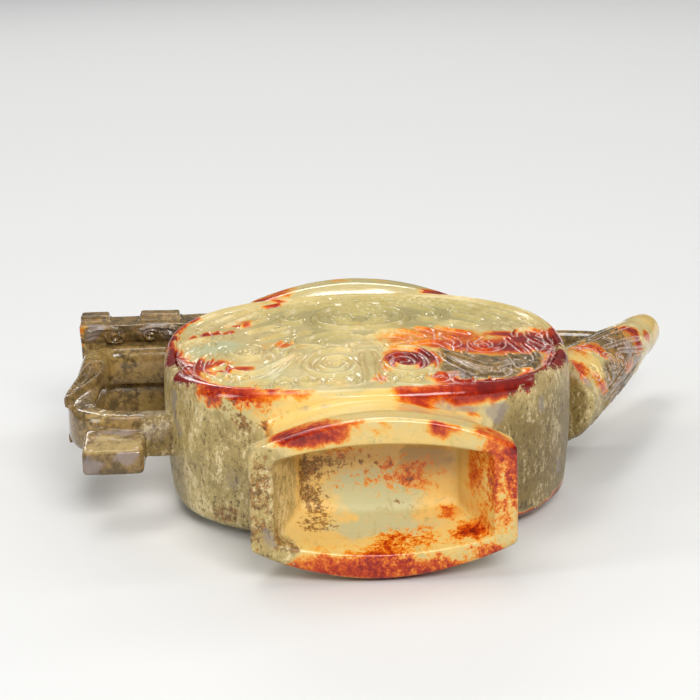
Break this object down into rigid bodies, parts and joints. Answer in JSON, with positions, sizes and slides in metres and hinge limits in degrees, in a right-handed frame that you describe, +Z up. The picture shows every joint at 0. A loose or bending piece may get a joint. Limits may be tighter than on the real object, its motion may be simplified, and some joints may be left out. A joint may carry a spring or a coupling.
{
  "type": "jade wine ewer",
  "caption": "Flat drum-shaped jade wine ewer with a flared hollow foot, an open mouth, a bored spout tied to the shoulder and a squared loop handle; shown lying on its back face.",
  "frame": {"origin": "middle of the ewer's bounding box, on the plane that it lies on", "axes": "+X from the handle to the spout, +Y from the foot to the mouth, +Z up through the flat body, from its back face to its front face"},
  "size_m": [0.195, 0.1772, 0.0466],
  "materials": {
    "olive_jade": "wet polish over weathered crust",
    "celadon_jade": "gloss polish",
    "russet_jade": "gloss polish",
    "cream_jade": "gloss polish",
    "smoky_jade": "gloss polish"
  },
  "bodies": {
    "root": {"body_wall": "olive_jade", "front_panel": "celadon_jade", "back_panel": "celadon_jade", "foot_neck": "russet_jade", "foot_lip": "russet_jade", "mouth_neck": "celadon_jade", "mouth_lip": "celadon_jade", "spout_tube": "russet_jade", "spout_lip": "cream_jade", "spout_bridge": "olive_jade", "handle_grip": "smoky_jade", "handle_upper_arm": "smoky_jade", "handle_lower_arm": "smoky_jade", "handle_crest": "smoky_jade", "crest_hook_outer_front": "smoky_jade", "crest_hook_inner_front": "smoky_jade", "crest_hook_outer_back": "smoky_jade", "crest_hook_inner_back": "smoky_jade", "handle_tail": "smoky_jade", "handle_heel": "smoky_jade", "handle_curl_front": "smoky_jade", "handle_curl_back": "smoky_jade"}
  },
  "joints": []
}
